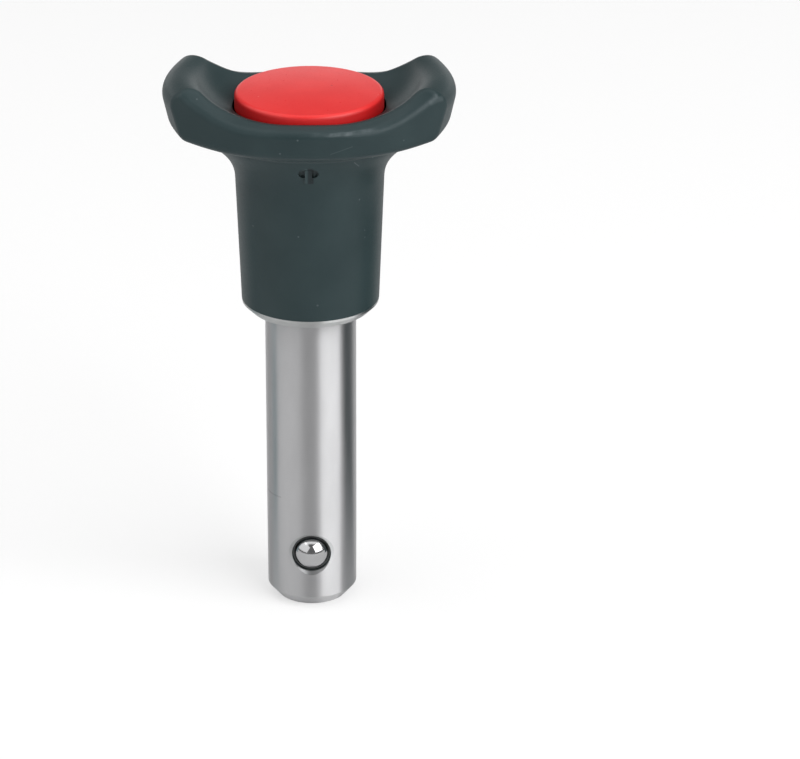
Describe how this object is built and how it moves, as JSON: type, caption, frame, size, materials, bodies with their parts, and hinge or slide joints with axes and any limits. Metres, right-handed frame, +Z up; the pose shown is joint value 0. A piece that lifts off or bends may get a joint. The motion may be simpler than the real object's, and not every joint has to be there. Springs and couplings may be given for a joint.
{
  "type": "ball lock pin",
  "caption": "Quick-release ball lock pin: winged grip with a spring-loaded push button, flanged collar and round shank with locking balls near its tip.",
  "frame": {"origin": "middle of the shank's tip end face, on the pin's axis", "axes": "+Z runs up the pin's axis from tip to button; the grip's wings point along +X and -X; -Y is the plain front of the grip and +Y its lanyard ear"},
  "size_m": [0.0502, 0.0364, 0.0991],
  "materials": {
    "grip_plastic": "fine-grained moulded plastic, dark slate grey, taken to be glass-filled nylon",
    "button_plastic": "smooth moulded red plastic, satin gloss",
    "collar_steel": "turned stainless steel",
    "shank_steel": "ground stainless steel with fine circular marks",
    "spindle_steel": "turned stainless steel",
    "spring_steel": "drawn spring wire",
    "ball_steel": "polished bearing steel"
  },
  "bodies": {
    "root": {"grip": "grip_plastic", "collar": "collar_steel", "shank": "shank_steel", "return_spring": "spring_steel"},
    "plunger": {"push_button": "button_plastic", "spindle": "spindle_steel"},
    "front_lock": {"ball_front": "ball_steel"},
    "rear_lock": {"ball_rear": "ball_steel"}
  },
  "joints": [
    {"name": "button_press", "type": "slide", "parent": "root", "child": "plunger", "axis": [0, 0, -1], "range_m": [0, 0.004], "stiffness_N_per_m": 1500, "springref_m": -0.005, "deforming": ["return_spring"]},
    {"name": "front_ball_slide", "type": "slide", "parent": "root", "child": "front_lock", "axis": [0, 1, 0], "range_m": [0, 0.00138]},
    {"name": "rear_ball_slide", "type": "slide", "parent": "root", "child": "rear_lock", "axis": [0, -1, 0], "range_m": [0, 0.00138]}
  ],
  "couplings": [
    {"joint": "front_ball_slide", "follows": "button_press", "ratio": 0.34},
    {"joint": "rear_ball_slide", "follows": "button_press", "ratio": 0.34}
  ]
}
